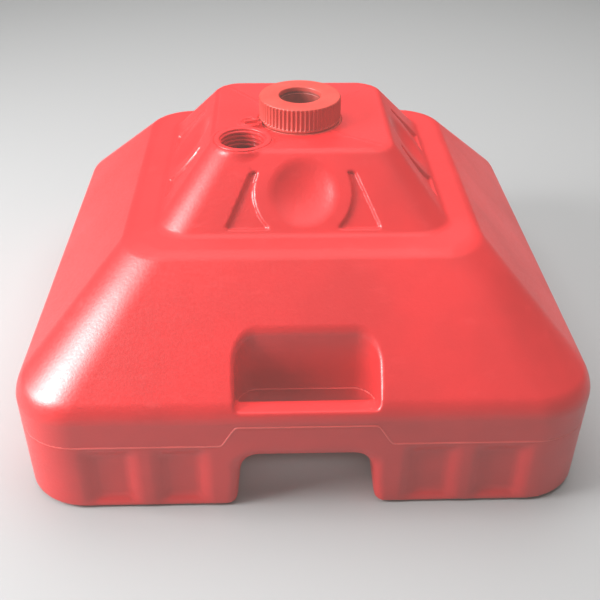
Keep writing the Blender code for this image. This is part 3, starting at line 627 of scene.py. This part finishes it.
nut_low, nut_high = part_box("collar_nut")
NUT_R = nut_high.x
NUT_Z, NUT_TOP_Z = nut_low.z, nut_high.z
NUT_BORE_R, NUT_ROOT_R = 0.0197, 0.0332
NUT_PLATE = 0.0042
RIBS, RIB_DEPTH, RIB_COLUMNS = 60, 0.0013, 8
THREAD_PITCH = 0.005
NECK_R, THREAD_R = 0.0302, 0.0325
THREAD_CLEAR = 0.0007
THREAD_Z = 0.2609
NUT_RED = (0.58, 0.046, 0.032, 1)
NUT_RED_PALE = (0.66, 0.064, 0.046, 1)


def thread_share(height, turn, middle, pitch, low, high):
    """0 in the thread's root and 1 on its crest: a helix that climbs one pitch a turn, faded at its ends."""
    wave = np.cos(2 * np.pi * ((height - middle) / pitch - turn / (2 * np.pi)))
    fade = np.clip((height - low) / (0.3 * pitch), 0, 1) * np.clip((high - height) / (0.3 * pitch), 0, 1)
    return np.clip(0.55 + 1.15 * wave, 0, 1) * fade


def round_edge(centre, radius, start, end, steps=5):
    """(radius, height) points on a quarter or less of a circle, angles in degrees."""
    turn = np.radians(np.linspace(start, end, steps))
    return [(centre[0] + radius * math.cos(t), centre[1] + radius * math.sin(t)) for t in turn]


def ring(radius, turn, z):
    """One row of a turned grid; the radius may differ from column to column."""
    return np.stack((radius * np.cos(turn), radius * np.sin(turn), turn * 0 + z), 1)


def ring_rows(section, turn):
    """The section's (radius, height) points carried round the axis."""
    return [ring(r, turn, z) for r, z in section]


def nut_grid():
    """Rows run round the nut's section, columns round its axis; ribs and thread move a row in and out."""
    turn = full_turn(RIBS * RIB_COLUMNS)
    groove = 1 - ((1 + np.cos(RIBS * turn)) / 2) ** 2
    rows = [(r, z, 0) for r, z in round_edge((NUT_BORE_R + 0.0012, NUT_TOP_Z - 0.0012), 0.0012, 180, 90)]
    rows += [(NUT_R * 0.72, NUT_TOP_Z, 0), (NUT_R - 0.004, NUT_TOP_Z, 0)]
    rows += [(r, z, 0.15 * max(0, k - 2)) for k, (r, z) in enumerate(
        round_edge((NUT_R - 0.0017, NUT_TOP_Z - 0.0017), 0.0017, 90, 0, 7))]
    rows += [(NUT_R, NUT_TOP_Z - 0.0025, 0.85), (NUT_R, NUT_TOP_Z - 0.0035, 1)]
    rows += [(NUT_R, NUT_Z + 0.0033, 1), (NUT_R, NUT_Z + 0.0027, 0.7), (NUT_R, NUT_Z + 0.0022, 0)]
    rows += [(r, z, 0) for r, z in round_edge((NUT_R - 0.0006, NUT_Z + 0.0006), 0.0006, 0, -90, 4)]
    rings = [ring(r - RIB_DEPTH * share * groove, turn, z) for r, z, share in rows]
    low, high = NUT_Z + 0.0008, NUT_TOP_Z - NUT_PLATE
    for z in np.linspace(NUT_Z, high, 60):
        share = thread_share(z, turn, THREAD_Z + THREAD_PITCH / 2, THREAD_PITCH, low + 0.0015, high - 0.0015)
        r = NUT_ROOT_R + 0.0004 * (z == NUT_Z) - (NUT_ROOT_R - NECK_R - THREAD_CLEAR) * share
        rings.append(ring(r, turn, z))
    rings.append(ring(NUT_BORE_R, turn, high))
    return np.stack(rings)


def nut_plastic():
    finish = Finish("nut red")
    clouds = finish.noise(60, 2, 0.5)
    streaks = finish.noise(190, 2, 0.6, stretch=(1, 1, 0.08))
    mottle = finish.noise(900, 2, 0.6)
    colour = finish.tint(clouds.between(0.35, 0.65) * 0.7, NUT_RED, NUT_RED_PALE)
    rough = 0.40 + streaks.between(0.3, 0.7) * 0.10 + mottle.between(0.3, 0.7) * 0.05
    relief = finish.bump(mottle, 0.00008, 0.6, finish.bump(streaks, 0.00005, 0.4))
    finish.set(Base_Color=colour, Roughness=rough, Normal=relief, IOR=1.5)
    return finish.material


nut_red = nut_plastic()
nut = piece("ribbed_nut", [woven(nut_grid())], nut_red, 50)
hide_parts("collar_nut")
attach(nut, "nut")


# ---------------------------------------------------------------------------------------------------------
# Neck. The red threaded fitting that the nut winds on, with a flange in the tank's top and a spigot
# through it; it carries the liner's cup.

neck_low, neck_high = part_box("neck")
FLANGE_R = neck_high.x
NECK_FOOT_Z, NECK_TOP_Z = neck_low.z, neck_high.z
FLANGE_Z, FLANGE_TOP_Z = SEAT_Z + 0.0003, NECK_PLANE_Z
NECK_BORE_R, SPIGOT_R, TUBE_WAY_R = 0.0275, 0.0332, 0.0227
NECK_SHELF_Z = 0.2585


def neck_grid():
    """Rows go up the bore, down the threaded outside, round the flange and spigot and back up inside."""
    turn = full_turn(240)
    bore = [(TUBE_WAY_R, NECK_FOOT_Z), (TUBE_WAY_R, NECK_SHELF_Z), (NECK_BORE_R, NECK_SHELF_Z)]
    rings = ring_rows(bore, turn)
    rings += ring_rows(round_edge((NECK_BORE_R + 0.0005, NECK_TOP_Z - 0.0005), 0.0005, 180, 90, 4), turn)
    rings += ring_rows(round_edge((NECK_R - 0.0006, NECK_TOP_Z - 0.0006), 0.0006, 90, 0, 4), turn)
    low, high = FLANGE_TOP_Z + 0.0006, NECK_TOP_Z - 0.0007
    for z in np.linspace(high, low, 56):
        r = NECK_R + (THREAD_R - NECK_R) * thread_share(z, turn, THREAD_Z, THREAD_PITCH, low, high)
        rings.append(ring(r, turn, z))
    section = round_edge((NECK_R + 0.0006, FLANGE_TOP_Z + 0.0006), 0.0006, 180, 270, 4)
    section += round_edge((FLANGE_R - 0.0006, FLANGE_TOP_Z - 0.0006), 0.0006, 90, 0, 5)
    section += [(FLANGE_R, FLANGE_Z), (SPIGOT_R, FLANGE_Z), (SPIGOT_R, NECK_FOOT_Z)]
    return np.stack(rings + ring_rows(section, turn))


neck = piece("threaded_neck", [woven(neck_grid())], nut_red, 35)
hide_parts("neck")
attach(neck, "tank")


# ---------------------------------------------------------------------------------------------------------
# Filling mouth. A red threaded ring pressed into its boss: soft rim, three turns of a fine thread inside,
# open to the tank.

FILL_TOP_Z, FILL_FOOT_Z = fill_high.z, fill_low.z
FILL_FLANGE_R = (fill_high.x - fill_low.x) / 2
FILL_BODY_R, FILL_R = 0.0237, 0.0210
FILL_FLANGE_Z = FILL_TOP_Z - 0.0012
FILL_PITCH, FILL_THREAD_DEPTH = 0.004, 0.0013


def mouth_grid():
    """Rows go down the threaded inside, round the foot, up the body and over the rim."""
    turn = full_turn(180)
    rings = ring_rows(round_edge((FILL_R + 0.0009, FILL_TOP_Z - 0.0009), 0.0009, 90, 180), turn)
    low, high = FILL_FOOT_Z + 0.0006, FILL_TOP_Z - 0.0018
    for z in np.linspace(high, low, 72):
        share = thread_share(z, turn, FILL_TOP_Z - 0.0045, FILL_PITCH, low, high)
        r = FILL_R - FILL_THREAD_DEPTH * share
        rings.append(ring(r, turn, z))
    rings += ring_rows([(FILL_R, FILL_FOOT_Z), (FILL_BODY_R, FILL_FOOT_Z), (FILL_BODY_R, FILL_FLANGE_Z),
                        (FILL_FLANGE_R, FILL_FLANGE_Z)], turn)
    rings += ring_rows(round_edge((FILL_FLANGE_R - 0.0006, FILL_TOP_Z - 0.0006), 0.0006, 0, 90, 4), turn)
    return np.stack(rings) + (*FILL_AT, 0)


mouth = piece("filling_mouth", [woven(mouth_grid())], tank_plastic("mouth red"), 35)
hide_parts("fill_neck")
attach(mouth, "tank")


# ---------------------------------------------------------------------------------------------------------
# Vent plug. A small red screw plug with a cross bar to turn it by and a fine thread on its shank. Its red
# is darker than the tank's, painted shade of the small hole that it sits in.

plug_low, plug_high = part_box("vent_plug")
VENT_HEAD_R = (plug_high.x - plug_low.x) / 2
VENT_BAR = (0.0062, 0.0015, 0.0016)
VENT_BAR_TURN = math.radians(12)
VENT_TOP_Z = plug_high.z - VENT_BAR[2]
VENT_HEAD_Z = VENT_TOP_Z - 0.0022
VENT_SHANK_R = 0.0055
VENT_PITCH = 0.002
# Darker than the tank's red: painted shade of the small hole that the plug sits in.
VENT_SHADED_RED = (0.56, 0.030, 0.024, 1)


def plug_grid():
    """Rows go down the head's dished top and edge, under the head and down the threaded shank."""
    turn = full_turn(96)
    section = [(0.0001, VENT_TOP_Z - 0.0012), (0.0056, VENT_TOP_Z - 0.0012), (0.0064, VENT_TOP_Z - 0.0010),
               (0.0068, VENT_TOP_Z - 0.0003), (0.0071, VENT_TOP_Z)]
    section += round_edge((VENT_HEAD_R - 0.0006, VENT_TOP_Z - 0.0006), 0.0006, 90, 0, 5)
    section += [(VENT_HEAD_R, VENT_HEAD_Z), (VENT_SHANK_R, VENT_HEAD_Z)]
    rings = ring_rows(section, turn)
    low, high = plug_low.z + 0.0008, VENT_HEAD_Z - 0.001
    for z in np.linspace(high, low, 40):
        r = VENT_SHANK_R - 0.0006 * (1 - thread_share(z, turn, high, VENT_PITCH, low, high))
        rings.append(ring(r, turn, z))
    rings += ring_rows([(VENT_SHANK_R - 0.0014, plug_low.z)], turn)
    return np.stack(rings) + (*VENT_AT, 0)


def bar_grid():
    """A bar with soft edges: rounded rectangles that grow from the foot and close over the top."""
    turn = full_turn(64)
    long_half, wide_half, rise = VENT_BAR
    rings = []
    for inset, z in ((0.0, -0.0018), (0.0, rise - 0.0006), (0.00025, rise - 0.0002), (0.0007, rise)):
        x = (long_half - inset) * np.sign(np.cos(turn)) * np.abs(np.cos(turn)) ** 0.35
        y = (wide_half - inset) * np.sign(np.sin(turn)) * np.abs(np.sin(turn)) ** 0.35
        rings.append(np.stack((
            x * math.cos(VENT_BAR_TURN) - y * math.sin(VENT_BAR_TURN) + VENT_AT[0],
            x * math.sin(VENT_BAR_TURN) + y * math.cos(VENT_BAR_TURN) + VENT_AT[1],
            turn * 0 + VENT_TOP_Z + z), 1))
    return np.stack(rings)


# The plug's plastic is painted darker, as shade in its small hole.
plug = piece("vent_screw", [woven(plug_grid(), rows_close=False), woven(bar_grid(), rows_close=False)],
             tank_plastic("vent red", VENT_SHADED_RED, TANK_RED_DEEP), 35)
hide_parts("vent_plug")
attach(plug, "vent")


# ---------------------------------------------------------------------------------------------------------
# Liner. A dark red dry tube that the pole stands in, closed on the tank's floor, its cup-shaped head in the
# neck. Moulded in one, with a dull inside that poles have rubbed.

tube_low, tube_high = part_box("pole_tube")
TUBE_BORE_R, TUBE_R = 0.0193, 0.0223
CUP_R, CUP_TOP_Z = tube_high.x, tube_high.z
CUP_FLOOR_Z, CUP_FOOT_Z = CUP_TOP_Z - 0.011, CUP_TOP_Z - 0.0135
CUP_SEAT_R, CUP_MOUTH_R = 0.0213, 0.0246
LINER_DARK = (0.30, 0.040, 0.030, 1)
LINER_WORN = (0.40, 0.075, 0.058, 1)


def liner_grid():
    """Rows go up the closed tube's outside, over the cup and down the inside to the floor."""
    turn = full_turn(120)
    floor = tube_low.z + 0.004
    section = [(0.0001, tube_low.z)]
    section += round_edge((TUBE_R - 0.001, tube_low.z + 0.001), 0.001, -90, 0)
    section += [(TUBE_R, z) for z in np.linspace(0.03, CUP_FOOT_Z, 6)]
    section += round_edge((CUP_R - 0.0008, CUP_FOOT_Z + 0.0008), 0.0008, -90, 0)
    section += round_edge((CUP_R - 0.0005, CUP_TOP_Z - 0.0005), 0.0005, 0, 90)
    section += round_edge((CUP_MOUTH_R + 0.0005, CUP_TOP_Z - 0.0005), 0.0005, 90, 163)
    section += [(CUP_SEAT_R, CUP_FLOOR_Z), (TUBE_BORE_R + 0.0004, CUP_FLOOR_Z)]
    section += [(TUBE_BORE_R, CUP_FLOOR_Z - 0.0004)]
    section += [(TUBE_BORE_R, z) for z in np.linspace(0.22, 0.02, 6)]
    section += round_edge((TUBE_BORE_R - 0.001, floor + 0.001), 0.001, 0, -90) + [(0.0001, floor)]
    return np.stack(ring_rows(section, turn))


finish = Finish("liner dark")
rubs = finish.noise(70, 3, 0.6, stretch=(1, 1, 0.12)).between(0.45, 0.7)
finish.set(
    Base_Color=finish.tint(rubs, LINER_DARK, LINER_WORN), Roughness=0.5 + rubs * 0.2,
    Normal=finish.bump(finish.noise(500, 2, 0.5), 0.00008, 0.6), IOR=1.48,
)
liner = piece("dry_liner", [woven(liner_grid(), rows_close=False)], finish.material, 35)
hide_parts("pole_tube")
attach(liner, "tank")


# ---------------------------------------------------------------------------------------------------------
# Collet and slip washer. A split cone of dark red nylon that the nut presses into the liner's cup until it
# grips the pole, and the flat ring between them that keeps it from turning.

collet_low, collet_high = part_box("collet")
COLLET_BORE_R, COLLET_FOOT_R = 0.0195, 0.0209
COLLET_TOP_R = -collet_low.x
COLLET_SLIT = 0.003
washer_low, washer_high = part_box("slip_washer")
WASHER_BORE_R, WASHER_R = 0.0199, washer_high.x
NYLON = (0.38, 0.046, 0.034, 1)
NYLON_PALE = (0.46, 0.070, 0.052, 1)


def collet_grid():
    """The cone's section carried round from one face of the slit to the other, scored inside for grip."""
    gap = math.asin(COLLET_SLIT / 2 / COLLET_BORE_R)
    turn = np.linspace(gap, 2 * math.pi - gap, 181)
    score = 0.0002 * (np.cos(60 * turn) > 0.3)
    z_low, z_high = collet_low.z, collet_high.z
    section = [(COLLET_FOOT_R - 0.0003, z_low, 0), (COLLET_FOOT_R, z_low + 0.0004, 0),
               (COLLET_TOP_R - 0.0002, z_high - 0.0005, 0), (COLLET_TOP_R - 0.0005, z_high, 0),
               (COLLET_BORE_R + 0.0005, z_high, 0), (COLLET_BORE_R, z_high - 0.0006, 0),
               (COLLET_BORE_R, z_high - 0.0014, 1), (COLLET_BORE_R, z_low + 0.0010, 1),
               (COLLET_BORE_R, z_low + 0.0004, 0)]
    return np.stack([ring(r + score * share, turn, z) for r, z, share in section])


def washer_grid():
    """A flat ring with soft edges."""
    turn = full_turn(120)
    z_low, z_high, soft = washer_low.z, washer_high.z, 0.0003
    section = [(WASHER_BORE_R, z_low + soft), (WASHER_BORE_R, z_high - soft), (WASHER_BORE_R + soft, z_high),
               (WASHER_R - soft, z_high), (WASHER_R, z_high - soft), (WASHER_R, z_low + soft),
               (WASHER_R - soft, z_low), (WASHER_BORE_R + soft, z_low)]
    return np.stack(ring_rows(section, turn))


finish = Finish("nylon dark")
clouds = finish.noise(120, 2, 0.5).between(0.35, 0.65)
finish.set(
    Base_Color=finish.tint(clouds, NYLON, NYLON_PALE), Roughness=0.34 + clouds * 0.12,
    Normal=finish.bump(finish.noise(1200, 2, 0.5), 0.00004, 0.6), IOR=1.53,
)
collet = piece("split_cone", [woven(collet_grid(), columns_close=False)], finish.material, 30)
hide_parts("collet")
washer = piece("slip_ring", [woven(washer_grid())], finish.material, 30)
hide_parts("slip_washer")
for part in (collet, washer):
    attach(part, "clamp")


# ---------------------------------------------------------------------------------------------------------
# Seals. Flat black rubber rings, one under the liner's cup and one under the vent plug's head; their
# modelled shape is already right, so only their surface is made here.

RUBBER, RUBBER_BLOOM = (0.012, 0.012, 0.013, 1), (0.035, 0.034, 0.033, 1)

finish = Finish("seal rubber")
bloom = finish.noise(300, 3, 0.6).between(0.4, 0.7)
finish.set(
    Base_Color=finish.tint(bloom, RUBBER, RUBBER_BLOOM), Roughness=0.62 + bloom * 0.2,
    Normal=finish.bump(finish.noise(1500, 2, 0.5), 0.00005, 0.7), IOR=1.5,
)
for name in ("tube_seal", "vent_seal"):
    seal = bpy.data.objects[name]
    seal.data.materials.clear()
    seal.data.materials.append(finish.material)
